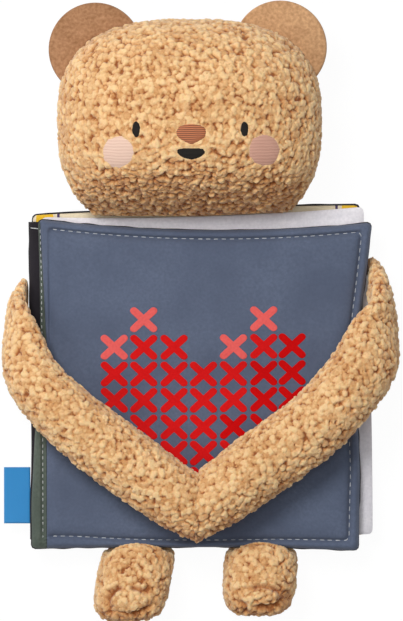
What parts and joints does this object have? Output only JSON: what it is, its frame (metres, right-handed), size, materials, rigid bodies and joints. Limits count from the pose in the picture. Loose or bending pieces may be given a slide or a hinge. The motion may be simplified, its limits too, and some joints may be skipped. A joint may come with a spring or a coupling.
{
  "type": "cloth book",
  "caption": "Padded cloth baby book carried by a stuffed bear whose arms hug the closed covers and swing open with them; lies on its back.",
  "frame": {"origin": "on the table under the middle of the toy's bounding box, with the toy lying on its back", "axes": "+Z out of the front cover, +Y from the feet to the head, +X to the right when the cover is looked at"},
  "size_m": [0.192, 0.2972, 0.069],
  "materials": {
    "curly_plush": "matte curly boucle pile",
    "ear_velour": "matte short pile",
    "slate_cotton": "matte cotton weave",
    "sage_cotton": "matte cotton weave",
    "charcoal_cotton": "matte cotton weave",
    "cream_print": "matte printed cotton",
    "white_cotton": "matte cotton weave",
    "wadding": "soft needled wadding",
    "tag_ribbon": "smooth satin ribbon",
    "nose_thread": "satin stitch",
    "black_thread": "satin stitch",
    "cheek_velour": "matte short pile"
  },
  "bodies": {
    "bear": {"back_cover": "charcoal_cotton", "back_wadding": "wadding", "back_lining": "cream_print", "spine": "charcoal_cotton", "side_tag": "tag_ribbon", "head": "curly_plush", "left_ear": "ear_velour", "right_ear": "ear_velour", "left_eye": "black_thread", "right_eye": "black_thread", "left_cheek": "cheek_velour", "right_cheek": "cheek_velour", "nose": "nose_thread", "mouth": "black_thread", "left_shoulder": "curly_plush", "right_shoulder": "curly_plush"},
    "front": {"front_cover": "slate_cotton", "front_spine_strip": "sage_cotton", "front_wadding": "wadding", "front_lining": "charcoal_cotton"},
    "page": {"page_front": "white_cotton", "page_back": "white_cotton"},
    "left_forearm": {"left_arm": "curly_plush"},
    "right_forearm": {"right_arm": "curly_plush"},
    "left_foot": {"left_leg": "curly_plush"},
    "right_foot": {"right_leg": "curly_plush"}
  },
  "joints": [
    {"name": "front_cover_turn", "type": "hinge", "parent": "bear", "child": "front", "pos_m": [-0.0824, 0, 0.0166], "axis": [0, -1, 0], "range_deg": [0, 135], "deforming": ["left_arm", "right_arm"]},
    {"name": "page_turn", "type": "hinge", "parent": "bear", "child": "page", "pos_m": [-0.0801, 0, 0.0116], "axis": [0, -1, 0], "range_deg": [0, 68]},
    {"name": "left_arm_swing", "type": "hinge", "parent": "bear", "child": "left_forearm", "pos_m": [-0.0894, 0, 0.02], "axis": [0, -1, 0], "range_deg": [0, 169]},
    {"name": "right_arm_swing", "type": "hinge", "parent": "bear", "child": "right_forearm", "pos_m": [0.0887, 0, 0.02], "axis": [0, 1, 0], "range_deg": [0, 169]},
    {"name": "left_leg_splay", "type": "hinge", "parent": "bear", "child": "left_foot", "pos_m": [-0.0294, -0.1227, 0.015], "axis": [0, 0, 1], "range_deg": [-8, 8]},
    {"name": "right_leg_splay", "type": "hinge", "parent": "bear", "child": "right_foot", "pos_m": [0.0291, -0.1227, 0.015], "axis": [0, 0, 1], "range_deg": [-8, 8]}
  ],
  "couplings": [
    {"joint": "page_turn", "follows": "front_cover_turn", "ratio": 0.5},
    {"joint": "left_arm_swing", "follows": "front_cover_turn", "ratio": 1.25},
    {"joint": "right_arm_swing", "follows": "front_cover_turn", "ratio": 1.25}
  ]
}
